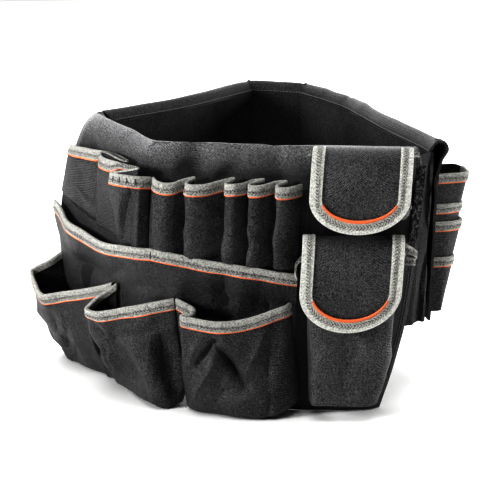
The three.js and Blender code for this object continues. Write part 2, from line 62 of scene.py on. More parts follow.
bpy.ops.object.camera_add()
eye = bpy.context.object
pointAt(eye, studio["eye"], studio["aim"])
eye.data.lens = studio["lens"]
eye.data.sensor_width = 36.0
bpy.context.scene.camera = eye
for lamp in studio["lamps"]:
    bpy.ops.object.light_add(type="AREA")
    light = bpy.context.object
    light.name = lamp["name"]
    light.data.size = lamp["size"]
    light.data.energy = lamp["watts"]
    pointAt(light, lamp["place"], lamp["aim"])
bpy.ops.object.light_add(type="SUN")
sun = bpy.context.object
sun.name = "ceilingGlow"
sun.data.angle = math.radians(studio["sun"]["spread"])
sun.data.energy = studio["sun"]["strength"]
pointAt(sun, studio["sun"]["place"], studio["sun"]["aim"])
sky = bpy.data.worlds.new("studioSky")
sky.use_nodes = True
sky.node_tree.nodes["Background"].inputs["Color"].default_value = studio["skyColour"]
sky.node_tree.nodes["Background"].inputs["Strength"].default_value = studio["skyStrength"]
bpy.context.scene.world = sky
bpy.context.scene.view_settings.view_transform = "Standard"
bpy.context.scene.view_settings.gamma = studio["contrast"]
print("studio set")


# Finishes. A Wire is one socket, and sums on wires add Math nodes.
class Wire:
    def __init__(self, paint, socket):
        self.paint = paint
        self.socket = socket

    def __add__(self, other):
        return self.paint.maths("ADD", self, other)

    def __radd__(self, other):
        return self.paint.maths("ADD", other, self)

    def __sub__(self, other):
        return self.paint.maths("SUBTRACT", self, other)

    def __rsub__(self, other):
        return self.paint.maths("SUBTRACT", other, self)

    def __mul__(self, other):
        return self.paint.maths("MULTIPLY", self, other)

    def __rmul__(self, other):
        return self.paint.maths("MULTIPLY", other, self)

    def __truediv__(self, other):
        return self.paint.maths("DIVIDE", self, other)

    def __abs__(self):
        return self.paint.maths("ABSOLUTE", self)


class Paint:
    def __init__(self, name, roughness, sheen, gloss=0.3):
        self.material = bpy.data.materials.new(name)
        self.material.use_nodes = True
        self.tree = self.material.node_tree
        self.surface = self.tree.nodes["Principled BSDF"]
        self.surface.inputs["Roughness"].default_value = roughness
        self.surface.inputs["Sheen Weight"].default_value = sheen
        self.surface.inputs["Sheen Roughness"].default_value = 0.45
        self.surface.inputs["Specular IOR Level"].default_value = gloss

    def node(self, kind, settings, inputs, output=0):
        made = self.tree.nodes.new(kind)
        for key, value in settings.items():
            setattr(made, key, value)
        for key, value in inputs.items():
            if isinstance(value, Wire):
                self.tree.links.new(value.socket, made.inputs[key])
            else:
                made.inputs[key].default_value = value
        return Wire(self, made.outputs[output])

    def maths(self, operation, *values):
        return self.node("ShaderNodeMath", {"operation": operation}, dict(enumerate(values)))

    def blend(self, share, first, second):
        return self.node("ShaderNodeMix", {"data_type": "RGBA"}, {0: share, 6: first, 7: second}, 2)

    def clothRun(self):
        spot = self.node("ShaderNodeUVMap", {"uv_map": "cloth"}, {})
        return [self.node("ShaderNodeSeparateXYZ", {}, {0: spot}, axis) for axis in (0, 1)]

    def speckle(self, scale, detail=2.0):
        spot = self.node("ShaderNodeTexCoord", {}, {}, 3)
        return self.node("ShaderNodeTexNoise", {}, {"Vector": spot, "Scale": scale, "Detail": detail})

    def feed(self, socket, wire):
        self.tree.links.new(wire.socket, self.surface.inputs[socket])

    def bump(self, height, strength, distance):
        relief = self.node(
            "ShaderNodeBump", {}, {"Height": height, "Strength": strength, "Distance": distance})
        self.feed("Normal", relief)


def wovenPaint(name, look):
    # dense plain weave: threads over and under, uneven thread by thread, with a worn bloom in patches
    paint = Paint(name, look["roughness"], look["sheen"], look["gloss"])
    along, up = paint.clothRun()
    turn = 2 * math.pi / look["pitch"]
    warp = paint.maths("SINE", along * turn)
    weft = paint.maths("SINE", up * turn)
    threads = 0.5 + 0.5 * (warp * weft)
    grain = paint.speckle(look["grain"], 3.0)
    fleck = paint.speckle(look["fleck"], 1.0)
    cloud = paint.speckle(look["cloud"])
    lift = 0.22 + 0.36 * threads + (grain - 0.5) * look["mottle"] + (fleck - 0.5) * 0.5 + (cloud - 0.5) * 0.4
    light = look["light"]
    if "crestHighlight" in look:
        # painted highlight: the colour ramps lighter towards the crest of its fold, where light catches it
        low, crest = look["fold"]
        height = {0: up, 1: low, 2: crest, 3: 0.0, 4: 1.0}
        light = paint.blend(paint.node("ShaderNodeMapRange", {}, height), look["light"], look["crestHighlight"])
    paint.feed("Base Color", paint.blend(paint.maths("MAXIMUM", lift, 0.0), look["dark"], light))
    paint.feed("Roughness", look["roughness"] - 0.14 * threads)
    paint.bump(threads * 0.6 + grain * 0.5 + fleck * 0.2, look["relief"], 0.0006)
    return paint.material


def herringbonePaint(name, look):
    # folded edge tape: plain light margins and a chain of chevrons along its middle
    paint = Paint(name, look["roughness"], look["sheen"])
    along, across = paint.clothRun()
    aside = abs(across - look["middle"])
    rib = paint.maths("SINE", (along + aside * 1.1) * (2 * math.pi / look["pitch"]))
    chain = paint.maths("MAXIMUM", 1 - aside / look["reach"], 0.0)
    chain = paint.maths("MINIMUM", chain * 2.2, 1.0)
    weave = paint.maths("SINE", along * 7.0) * paint.maths("SINE", across * 7.0)
    grain = paint.speckle(look["grain"])
    lift = 0.8 + 0.14 * weave + (grain - 0.5) * look["mottle"] - chain * (0.3 - 0.3 * rib)
    paint.feed("Base Color", paint.blend(paint.maths("MAXIMUM", lift, 0.0), look["dark"], look["light"]))
    paint.bump(grain * 0.7 + weave * 0.3 + chain * rib * 0.8, look["relief"], 0.0008)
    return paint.material


def cordPaint(name, look):
    paint = Paint(name, look["roughness"], look["sheen"])
    along, across = paint.clothRun()
    twist = paint.maths("SINE", (along + across * 0.8) * (2 * math.pi / look["pitch"]))
    grain = paint.speckle(look["grain"])
    lift = 0.55 + 0.3 * twist + (grain - 0.5) * look["mottle"]
    paint.feed("Base Color", paint.blend(paint.maths("MAXIMUM", lift, 0.0), look["dark"], look["light"]))
    paint.bump(twist * 0.6 + grain * 0.4, look["relief"], 0.0004)
    return paint.material


def fuzzPaint(name, look):
    paint = Paint(name, look["roughness"], look["sheen"])
    loops = paint.speckle(look["grain"], 4.0)
    spots = paint.speckle(look["grain"] * 0.4)
    lift = (loops - 0.45) * 1.6 + (spots - 0.5) * 0.8
    paint.feed("Base Color", paint.blend(paint.maths("MAXIMUM", lift, 0.0), look["dark"], look["light"]))
    paint.bump(loops + spots, look["relief"], 0.0012)
    return paint.material


blackLook = {
    "roughness": 0.5, "sheen": 0.02, "gloss": 0.4, "pitch": 2.2, "grain": 1000.0, "fleck": 700.0,
    "cloud": 26.0, "mottle": 2.8, "dark": (0.004, 0.004, 0.0042, 1), "light": (0.125, 0.125, 0.1275, 1),
    "relief": 1.0}
threadLook = {
    "roughness": 0.6, "sheen": 0.2, "pitch": 0.8, "grain": 1500.0, "mottle": 0.3, "relief": 0.3}
finishes = {
    "black_cloth": wovenPaint("blackCloth", blackLook),
    # painted light: below its fold the rim cloth is painted darker than the black cloth as shade, and
    # lighter towards the fold's crest as a painted highlight
    "rim_cloth": wovenPaint("rimClothPaintedLight", {
        **blackLook, "mottle": 1.8, "light": (0.055, 0.055, 0.0565, 1), "crestHighlight": (0.5, 0.5, 0.505, 1),
        "fold": (199.0, 226.0)}),
    # painted light: a lighter copy of the black cloth, standing for the light that the flaps and pouches
    # catch on their upward faces
    "flap_cloth_painted_light": wovenPaint("flapClothPaintedLight", {**blackLook, "mottle": 2.2, "light": (0.2, 0.2, 0.203, 1)}),
    "lining_cloth": wovenPaint("liningCloth", {
        "roughness": 0.8, "sheen": 0.01, "gloss": 0.03, "pitch": 2.2, "grain": 1500.0, "fleck": 700.0,
        "cloud": 24.0, "mottle": 1.6, "dark": (0.002, 0.002, 0.002, 1), "light": (0.17, 0.17, 0.172, 1),
        "relief": 0.7}),
    "grey_tape": herringbonePaint("greyTape", {
        "roughness": 0.85, "sheen": 0.1, "pitch": 2.3, "middle": 2.9, "reach": 2.1, "grain": 800.0,
        "mottle": 2.2, "dark": (0.075, 0.0745, 0.07, 1), "light": (0.55, 0.546, 0.52, 1), "relief": 1.0}),
    "flap_tape": herringbonePaint("flapTape", {
        "roughness": 0.85, "sheen": 0.1, "pitch": 2.6, "middle": 4.4, "reach": 2.9, "grain": 800.0,
        "mottle": 1.6, "dark": (0.17, 0.169, 0.16, 1), "light": (0.84, 0.835, 0.795, 1), "relief": 1.0}),
    "orange_piping": cordPaint("orangePiping", {
        "roughness": 0.55, "sheen": 0.05, "pitch": 1.6, "grain": 900.0, "mottle": 0.5,
        "dark": (0.55, 0.15, 0.06, 1), "light": (0.86, 0.30, 0.14, 1), "relief": 0.5}),
    "hook_cloth": fuzzPaint("hookCloth", {
        "roughness": 0.95, "sheen": 0.15, "grain": 500.0,
        "dark": (0.004, 0.004, 0.004, 1), "light": (0.30, 0.30, 0.30, 1), "relief": 1.0}),
    "grey_thread": cordPaint("greyThread", {
        **threadLook, "roughness": 0.7, "sheen": 0.1,
        "dark": (0.28, 0.28, 0.26, 1), "light": (0.60, 0.60, 0.57, 1)}),
    "black_thread": cordPaint("blackThread", {
        **threadLook, "dark": (0.03, 0.03, 0.03, 1), "light": (0.12, 0.12, 0.12, 1)}),
    "fold_thread": cordPaint("foldThread", {
        **threadLook, "dark": (0.12, 0.12, 0.118, 1), "light": (0.42, 0.42, 0.41, 1)}),
}
print("finishes made:", len(finishes))

bpy.ops.mesh.primitive_plane_add(size=studio["floorSize"], location=(0, 0, -0.0005))
floor = bpy.context.object
floor.name = "studioFloor"
floorPaint = Paint("floorPaint", 0.9, 0.0)
floorPaint.surface.inputs["Base Color"].default_value = studio["floorColour"]
floor.data.materials.append(floorPaint.material)

# The cloth's own places. A spot is read by its place along the outline, its height and its distance out
# from the outer skirt, in millimetres, and the bag's frame is the outline moved by its shift.
bag = {"shift": np.array([4.9153, 13.4268, 0.0]), "rim": 222.0, "fold": 8.0,
       "skirt": 2.0, "pocket": 1.6, "loop": 0.9}
outlineRows = [
    {"bend": "left slot", "rim": (-132, 4), "belly": (-159, 8), "hem": (-130, 6)},
    {"bend": "left corner", "rim": (-140, -20), "belly": (-166, -22), "hem": (-139, -20)},
    {"bend": "left fold", "rim": (-112, -78), "belly": (-132, -87), "hem": (-114, -76)},
    {"bend": "front left", "rim": (-80, -132), "belly": (-89, -145), "hem": (-71, -134)},
    {"bend": "loops", "rim": (-38, -145), "belly": (-44, -155), "hem": (-38, -148)},
    {"bend": "front", "rim": (5, -150), "belly": (0, -160), "hem": (0, -156)},
    {"bend": "pouch seam", "rim": (50, -156), "belly": (44, -163), "hem": (40, -159)},
    {"bend": "pouch", "rim": (92, -161), "belly": (83, -164), "hem": (74, -160)},
    {"bend": "front right", "rim": (130, -162), "belly": (120, -161), "hem": (104, -156)},
    {"bend": "right slot", "rim": (150, -148), "belly": (144, -140), "hem": (126, -134)},
    {"bend": "back right", "rim": (157, -122), "belly": (152, -112), "hem": (148, -102)},
    {"bend": "right side", "rim": (126, -28), "belly": (130, -26), "hem": (124, -24)},
    {"bend": "back crease 1", "rim": (98, 68), "belly": (101, 70), "hem": (90, 66)},
    {"bend": "back crease 2", "rim": (57, 145), "belly": (60, 146), "hem": (54, 140)},
    {"bend": "back crease 3", "rim": (-4, 160), "belly": (-6, 168), "hem": (-5, 162)},
    {"bend": "left back", "rim": (-66, 72), "belly": (-84, 84), "hem": (-68, 76)},
]
outlines = {level: np.array([row[level] for row in outlineRows], float) for level in ("rim", "belly", "hem")}
rowSharp = np.zeros(len(outlineRows))
rowSharp[[2, 12, 13, 14]] = (0.2, 0.4, 0.6, 0.6)  # share of each bend that is a crease
outlines["fold"] = outlines["rim"].copy()
outlines["fold"][3] = (-87, -134)  # the rim's own corner stands a little aside from the skirt's
foldSharp = rowSharp.copy()
foldSharp[[3, 13, 14]] = (0.55, 0.8, 0.8)
rowRun = 41.0  # millimetres along the cloth for one row of the outline


def alongOutline(level, at):
    rows = outlines[level]
    whole = np.floor(at).astype(int)
    t = (at - whole)[..., None]
    a, b, c, d = (rows[(whole + step) % len(rows)] for step in (-1, 0, 1, 2))
    sharp = foldSharp if level == "fold" else rowSharp
    first, second = (sharp[(whole + step) % len(rows)][..., None] for step in (0, 1))
    leave = (c - a) / 2 * (1 - first) + (c - b) * first
    arrive = (d - b) / 2 * (1 - second) + (c - b) * second
    h00, h10 = 2 * t**3 - 3 * t**2 + 1, t**3 - 2 * t**2 + t
    return h00 * b + h10 * leave + (1 - h00) * c + (t**3 - t**2) * arrive


def skirtPlan(at, z):
    t = np.minimum(z / bag["rim"], 1)[..., None]
    bulge = alongOutline("belly", at) * 4 * t * (1 - t)
    rim, hem = alongOutline("rim", at), alongOutline("hem", at)
    return rim * t * (2 * t - 1) + bulge + hem * (1 - t) * (1 - 2 * t)


def rimPlan(at, z):
    return alongOutline("fold", at)


def onWall(at, z, out, plan=skirtPlan):
    at, z, out = (np.asarray(x, float) for x in np.broadcast_arrays(at, z, out))
    run = plan(at + 0.002, z) - plan(at - 0.002, z)
    run /= np.linalg.norm(run, axis=-1, keepdims=True)
    away = np.stack([run[..., 1], -run[..., 0]], -1)
    return np.concatenate([plan(at, z) + away * out[..., None], z[..., None]], -1)


def readRun(table, share):
    # smooth run through a table's rows, read at shares of its length; the first two columns are its plan
    table = np.asarray(table, float)
    steps = np.sqrt(np.linalg.norm(np.diff(table[:, :2], axis=0), axis=1) + 1e-6)
    knots = np.concatenate([[0], np.cumsum(steps)])
    slopes = np.gradient(table, knots, axis=0)
    fine = np.linspace(0, knots[-1], 1200)
    k = np.clip(np.searchsorted(knots, fine, side="right") - 1, 0, len(knots) - 2)
    gap = (knots[k + 1] - knots[k])[:, None]
    t = ((fine - knots[k])[:, None]) / gap
    h00, h10 = 2 * t**3 - 3 * t**2 + 1, t**3 - 2 * t**2 + t
    h01, h11 = 3 * t**2 - 2 * t**3, t**3 - t**2
    line = h00 * table[k] + h10 * gap * slopes[k] + h01 * table[k + 1] + h11 * gap * slopes[k + 1]
    length = np.concatenate([[0], np.cumsum(np.linalg.norm(np.diff(line[:, :2], axis=0), axis=1))])
    return [np.interp(share, length / length[-1], column) for column in line.T]


def creaseDepth(u, v, size, folds):
    # depth of the folds over a sheet, each a line between two places given in shares of the sheet
    depth = np.zeros_like(u)
    for fromU, fromV, toU, toV, spread, high in folds:
        runX, runY = (toU - fromU) * size[0], (toV - fromV) * size[1]
        x, y = (u - fromU) * size[0], (v - fromV) * size[1]
        t = np.clip((x * runX + y * runY) / (runX**2 + runY**2), 0, 1)
        away = np.hypot(x - t * runX, y - t * runY)
        crest = np.clip(1 - away / (2.2 * spread), 0, 1) ** 1.35
        depth += high * crest * (0.35 + 0.65 * np.sin(np.pi * np.clip(t, 0.08, 0.92)))
    return depth


def crumples(seed, count, spread, depth, box=(0.08, 0.08, 0.92, 0.9)):
    # small random creases for one sheet, mostly running down the cloth
    rng = np.random.default_rng(seed)
    folds = []
    for step in range(count):
        u, v = rng.uniform(box[0], box[2]), rng.uniform(box[1], box[3])
        turn = rng.normal(math.pi / 2, 0.75)
        half = rng.uniform(0.06, 0.2)
        high = depth * rng.uniform(0.35, 1.0) * rng.choice([-1, 1])
        folds.append((u - half * math.cos(turn), v - half * math.sin(turn), u + half * math.cos(turn),
                      v + half * math.sin(turn), spread * rng.uniform(0.6, 1.5), high))
    return folds


def slackness(u, v, size, seed, long=55.0):
    # gentle unevenness of hanging cloth
    rng = np.random.default_rng(seed)
    total = np.zeros_like(u)
    for step in range(7):
        turn = rng.uniform(0, math.tau)
        wave = long * rng.uniform(0.45, 1.3)
        phase = rng.uniform(0, math.tau)
        along = u * size[0] * math.cos(turn) + v * size[1] * math.sin(turn)
        total += np.sin(along * math.tau / wave + phase)
    return total / 7


def pushOut(points, depth):
    along = np.gradient(points, axis=1)
    up = np.gradient(points, axis=0)
    normal = np.cross(along, up)
    normal /= np.linalg.norm(normal, axis=-1, keepdims=True) + 1e-9
    return points + normal * depth[..., None]


def layCloth(name, across, up, place, thick, side=-1.0, ring=False):
    # a grid whose points are moved to their places on the bag, given thickness and smooth faces
    bpy.ops.object.select_all(action="DESELECT")
    bpy.ops.mesh.primitive_grid_add(x_subdivisions=across, y_subdivisions=up, size=1.0)
    piece = bpy.context.object
    piece.name = name
    piece.data.name = name
    u, v = np.meshgrid(np.linspace(0, 1, across + 1), np.linspace(0, 1, up + 1))
    points = place(u, v)
    points[..., 2] = np.maximum(points[..., 2], 0.5)
    piece.data.vertices.foreach_set("co", ((points + bag["shift"]) / 1000).astype(np.float32).ravel())
    gaps = np.linalg.norm(np.diff(points, axis=1), axis=-1).mean(axis=0)
    rises = np.linalg.norm(np.diff(points, axis=0), axis=-1)
    alongRun = np.broadcast_to(np.concatenate([[0], np.cumsum(gaps)]), u.shape)
    upRun = np.concatenate([np.zeros((1, across + 1)), np.cumsum(rises, axis=0)])
    layer = piece.data.uv_layers[0]
    layer.name = "cloth"
    corners = np.empty(len(piece.data.loops), np.int32)
    piece.data.loops.foreach_get("vertex_index", corners)
    run = np.stack([alongRun.ravel(), upRun.ravel()], -1)[corners]
    piece.data.uv_layers["cloth"].data.foreach_set("uv", run.astype(np.float32).ravel())
    if ring:
        bpy.ops.object.mode_set(mode="EDIT")
        bpy.ops.mesh.select_all(action="SELECT")
        bpy.ops.mesh.remove_doubles(threshold=1e-5)
        bpy.ops.object.mode_set(mode="OBJECT")
    bpy.ops.object.modifier_add(type="SOLIDIFY")
    wall = piece.modifiers[-1]
    wall.thickness = thick / 1000
    wall.offset = side
    bpy.ops.object.modifier_apply(modifier=wall.name)
    bpy.ops.object.shade_smooth_by_angle(angle=math.radians(60))
    return piece


def fit(piece, finish, slot, *nodes):
    piece.data.materials.clear()
    piece.data.materials.append(finishes[finish])
    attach(piece, "root")
    if nodes:
        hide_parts(*nodes)
    return piece


# Thread: one stitch is modelled once, and its copies are joined along a line
thread = {"long": 2.1, "pitch": 3.1, "wide": 0.62}
bpy.ops.object.select_all(action="DESELECT")
bpy.ops.mesh.primitive_cube_add(size=1.0)
stitch = bpy.context.object
bpy.ops.object.mode_set(mode="EDIT")
bpy.ops.mesh.select_all(action="SELECT")
bpy.ops.mesh.bevel(offset=0.24, segments=1, affect="EDGES")
bpy.ops.object.mode_set(mode="OBJECT")
stitchSpots = np.array([vertex.co for vertex in stitch.data.vertices])
stitchFaces = [list(face.vertices) for face in stitch.data.polygons]
bpy.data.objects.remove(stitch)


def sew(name, lines, finish, slot, look=thread):
    # lines are pairs of points along the cloth and the ways out of it, in millimetres
    spots, faces, runs = [], [], []
    for points, away in lines:
        length = np.concatenate([[0], np.cumsum(np.linalg.norm(np.diff(points, axis=0), axis=1))])
        count = int(length[-1] / look["pitch"])
        for middle in (np.arange(count) + 0.5) * look["pitch"]:
            ends = [np.array([np.interp(middle + half * look["long"], length, points[:, axis])
                              for axis in range(3)]) for half in (-0.5, 0.5)]
            normal = np.array([np.interp(middle, length, away[:, axis]) for axis in range(3)])
            run = ends[1] - ends[0]
            run /= np.linalg.norm(run) + 1e-9
            side = np.cross(normal, run)
            side /= np.linalg.norm(side) + 1e-9
            normal = np.cross(run, side)
            shape = (stitchSpots[:, :1] * look["long"] * run + stitchSpots[:, 1:2] * look["wide"] * side
                     + stitchSpots[:, 2:] * look["wide"] * 0.8 * normal)
            start = len(spots) * len(stitchSpots)
            spots.append((ends[0] + ends[1]) / 2 + shape)
            runs.append(stitchSpots[:, :2] * (look["long"], look["wide"]))
            faces.extend([[start + corner for corner in face] for face in stitchFaces])
    mesh = bpy.data.meshes.new(name)
    mesh.from_pydata(((np.concatenate(spots) + bag["shift"]) / 1000).tolist(), [], faces)
    layer = mesh.uv_layers.new(name="cloth")
    corners = np.empty(len(mesh.loops), np.int32)
    mesh.loops.foreach_get("vertex_index", corners)
    layer.data.foreach_set("uv", np.concatenate(runs)[corners].astype(np.float32).ravel())
    piece = bpy.data.objects.new(name, mesh)
    bpy.context.scene.collection.objects.link(piece)
    bpy.ops.object.select_all(action="DESELECT")
    piece.select_set(True)
    bpy.context.view_layer.objects.active = piece
    bpy.ops.object.shade_smooth()
    return fit(piece, finish, slot)


# Edge tape, piping and stitches that follow a pocket's mouth
tape = {"width": 7.6, "cloth": 0.7, "off": 0.3, "piping": 1.15, "sewn": 2.3}


def belowMouth(place, u, down):
    # point of a pocket's wall some way down from its mouth
    near = 0.08
    top = place(u, np.ones_like(u))
    low = place(u, np.full_like(u, 1 - near))
    rise = np.linalg.norm(top - low, axis=-1)
    return place(u, 1 - near * down / rise)


def mouthLine(place, u, down, off):
    # points off the wall at distances down from the mouth, with the ways out of the cloth
    depth = np.maximum(down, 0)
    spot = belowMouth(place, u, depth)
    step = 1e-3
    ahead = belowMouth(place, np.minimum(u + step, 1), depth)
    behind = belowMouth(place, np.maximum(u - step, 0), depth)
    rise = spot - belowMouth(place, u, depth + 2.0)
    away = np.cross(ahead - behind, rise)
    away /= np.linalg.norm(away, axis=-1, keepdims=True) + 1e-9
    rise /= np.linalg.norm(rise, axis=-1, keepdims=True) + 1e-9
    return spot + away * off[..., None] + rise * np.maximum(-down, 0)[..., None], away


def mouthTape(name, place, across, cloth=bag["pocket"], width=tape["width"], span=1.0, narrow=((0,), (1,)),
              inner=0.6):
    # section from the outer leg's edge, over the mouth and down the inner leg
    off = tape["off"]
    section = np.array([
        (width, off), (width * 0.72, off), (width * 0.4, off), (width * 0.12, off), (-0.5, off * 0.7),
        (-1.0, -cloth * 0.5), (-0.5, -cloth - off * 0.7), (width * inner * 0.3, -cloth - off),
        (width * inner, -cloth - off)])

    def wrap(u, v):
        share = np.linspace(0, 1, len(section))
        down = np.interp(v, share, section[:, 0]) * np.interp(u, narrow[0], narrow[1])
        out = np.interp(v, share, section[:, 1])
        wobble = 0.35 * slackness(u, v, (across * 2.0, 8.0), 1, 14.0)
        return mouthLine(place, u * span, down + wobble * (v < 0.1), out)[0]

    return layCloth(name, across, 16, wrap, tape["cloth"], side=1.0)


def mouthPiping(name, place, across, width=tape["width"], span=1.0, narrow=((0,), (1,))):
    section = np.array([
        (width + tape["piping"], 0.2), (width + tape["piping"] * 0.86, 0.8),
        (width + tape["piping"] * 0.45, 1.05), (width, 1.0), (width - 1.0, 0.45)])

    def lie(u, v):
        share = np.linspace(0, 1, len(section))
        down = np.interp(v, share, section[:, 0]) * np.interp(u, narrow[0], narrow[1])
        return mouthLine(place, u * span, down, np.interp(v, share, section[:, 1]))[0]

    return layCloth(name, across, 6, lie, 0.5)


def mouthStitches(name, place, count, width=tape["width"], span=1.0, narrow=((0,), (1,))):
    u = np.linspace(0.004, 0.996 * span, count)
    off = np.full_like(u, tape["off"] + tape["cloth"] + 0.12)
    line = mouthLine(place, u, (width - tape["sewn"]) * np.interp(u, narrow[0], narrow[1]), off)
    return sew(name, [line], "grey_thread", "grey_tape")


def trimMouth(prefix, place, across, nodes, cloth=bag["pocket"], width=tape["width"], piping=True, span=1.0,
              narrow=((0,), (1,)), inner=0.6):
    # narrow gives places along the mouth and the share of its width that the tape shows there
    band = mouthTape(prefix + "Tape", place, across, cloth, width, span, narrow, inner)
    trim = [fit(band, "grey_tape", "grey_tape", nodes["tape"])]
    if piping:
        line = mouthPiping(prefix + "Piping", place, across, width, span, narrow)
        trim.append(fit(line, "orange_piping", "orange_piping", nodes["piping"]))
    trim.append(mouthStitches(prefix + "Stitches", place, across * 4, width, span, narrow))
    return trim


# Skirts: hem, outside, fold over the bucket's rim and short inner leg
skirts = {
    "front": {"from": 0.22, "to": 8.45, "slant": 0.3, "tuck": 3.62, "wide": 0.17, "high": 13.0,
              "tightTo": 1.5, "easing": 1.6, "slack": 0.7, "size": (390.0, 257.0)},
    "back": {"from": 9.8, "to": 16.03, "corner": 68.0, "reach": 2.0, "beside": 0.16,
             "pinch": 5.0, "pinchTop": 212.0, "pinchRun": 26.0, "flare": 4.0, "flareFrom": 206.0,
             "flareRun": 8.0, "slack": 0.9, "size": (520.0, 257.0)},
    "ring": {"top": 213.0, "hem": 69.0, "out": -11.1, "lean": 5.0, "slack": 2.6, "size": (930.0, 140.0)},
}
foldSections = {  # out and height of each skirt's fold over the rim, from its outside to its leg's edge
    "front": [(0, 172), (-0.6, 182), (-1.8, 191), (-3.6, 199.5), (-6, 207.5), (-9, 214.5), (-11.6, 218.8),
              (-13.6, 220.9), (-15, 220.6), (-16.2, 217.5), (-16.6, 211), (-16.6, 204)],
    "left": [(0, 200), (-0.2, 208), (-1.4, 215), (-4.2, 220), (-8, 222), (-11.8, 220), (-14.6, 215),
             (-15.8, 209.5), (-16, 204)],
    "back": [(0, 206), (-0.1, 212), (-0.8, 217.2), (-2.4, 220.6), (-4.8, 222), (-7.6, 221), (-10.4, 218),
             (-12.6, 214.6), (-13.6, 211)],
}


def foldProfile(run, hem, section):
    # out and height along the skirt's cloth, from hem to the leg's edge
    table = np.array(section, float)
    out, z = readRun(table, np.linspace(0, 1, 200))
    steps = np.concatenate([[0], np.cumsum(np.hypot(np.diff(out), np.diff(z)))])
    straight = table[0, 1] - hem
    s = run * (straight + steps[-1])
    past = np.maximum(s - straight, 0)
    return np.interp(past, steps, out), np.where(s < straight, hem + s, np.interp(past, steps, z))


def foldedWall(at, out, z):
    share = np.clip(-out / bag["fold"], 0, 1)
    share = (share * share * (3 - 2 * share))[..., None]
    return onWall(at, z, out) * (1 - share) + onWall(at, z, out, rimPlan) * share


frontFolds = [  # crease lines in shares of the sheet: from, to, spread and depth in millimetres
    (0.325, 0.93, 0.35, 0.76, 3.0, 0.9), (0.13, 0.84, 0.2, 0.72, 6.0, -4.0),
    (0.1, 0.9, 0.13, 0.76, 5.0, 2.2), (0.62, 0.86, 0.66, 0.74, 6.0, -3.0), (0.56, 0.84, 0.6, 0.76, 7.0, 2.4),
    (0.44, 0.84, 0.48, 0.76, 7.0, -2.0),
] + crumples(seed=102, count=16, spread=5.0, depth=1.8, box=(0.35, 0.74, 0.7, 0.86))


def frontPlace(u, v):
    look = skirts["front"]
    last = look["to"] - look["slant"] * np.clip(1 - 2.9 * v, 0, 1) ** 1.6
    at = look["from"] + (last - look["from"]) * u
    hem = look["high"] * np.exp(-((at - look["tuck"]) / look["wide"]) ** 2)
    wide = foldProfile(v, hem, foldSections["front"])
    tight = foldProfile(v, hem, foldSections["left"])
    share = np.clip((at - look["tightTo"]) / look["easing"], 0, 1)
    out, z = (near + (far - near) * share for near, far in zip(tight, wide))
    points = foldedWall(at, out, z)
    slack = look["slack"] * slackness(u, v, look["size"], seed=3, long=60.0)
    return pushOut(points, creaseDepth(u, v, look["size"], frontFolds) + slack)


backFolds = [
    (0.358, 0.97, 0.358, 0.80, 3.0, -1.3), (0.521, 0.97, 0.521, 0.80, 3.0, -1.4),
    (0.684, 0.97, 0.684, 0.80, 3.0, -1.3), (0.44, 0.93, 0.46, 0.8, 8.0, 1.5),
] + crumples(seed=101, count=30, spread=6.0, depth=2.2, box=(0.05, 0.1, 0.95, 0.8))


def backPlace(u, v):
    look = skirts["back"]
    at = look["from"] + (look["to"] - look["from"]) * u
    rise = np.maximum(1 - (at - look["from"]) / look["reach"], 0)
    hem = look["corner"] * rise * rise * (3 - 2 * rise)
    out, z = foldProfile(v, hem, foldSections["back"])
    near = np.exp(-((at - look["from"]) / look["beside"]) ** 2)
    pinch = np.clip((look["pinchTop"] - z) / look["pinchRun"], 0, 1)
    out = out - look["pinch"] * near * pinch * pinch * (3 - 2 * pinch) * np.clip(1 + out / bag["fold"], 0, 1)
    flare = np.clip((z - look["flareFrom"]) / look["flareRun"], 0, 1)
    out = out + look["flare"] * near * flare * np.clip(1 + out / 6, 0, 1)
    points = foldedWall(at, out, z)
    slack = look["slack"] * slackness(u, v, look["size"], seed=5, long=80.0)
    return pushOut(points, creaseDepth(u, v, look["size"], backFolds) + slack)


def ringPlace(u, v):
    look = skirts["ring"]
    z = look["hem"] + (look["top"] - look["hem"]) * v
    out = look["out"] - look["lean"] * (bag["rim"] - z) / (bag["rim"] - look["hem"])
    points = onWall(len(outlineRows) * u, z, out, rimPlan)
    wave = look["slack"] * slackness(u, v, look["size"], seed=8, long=70.0)
    return pushOut(points, wave * np.minimum(1, (1 - v) * 5) * np.sin(np.pi * u) ** 0.5)


frontSkirt = fit(layCloth("frontSkirtCloth", 230, 74, frontPlace, bag["skirt"]),
                 "rim_cloth", "black_cloth", "front_skirt")
backSkirt = fit(layCloth("backSkirtCloth", 200, 74, backPlace, bag["skirt"]),
                "black_cloth", "black_cloth", "back_skirt")
innerSkirt = fit(layCloth("innerSkirtCloth", 300, 26, ringPlace, bag["skirt"], ring=True),
                 "lining_cloth", "lining_cloth", "inner_skirt")
print("skirts laid")


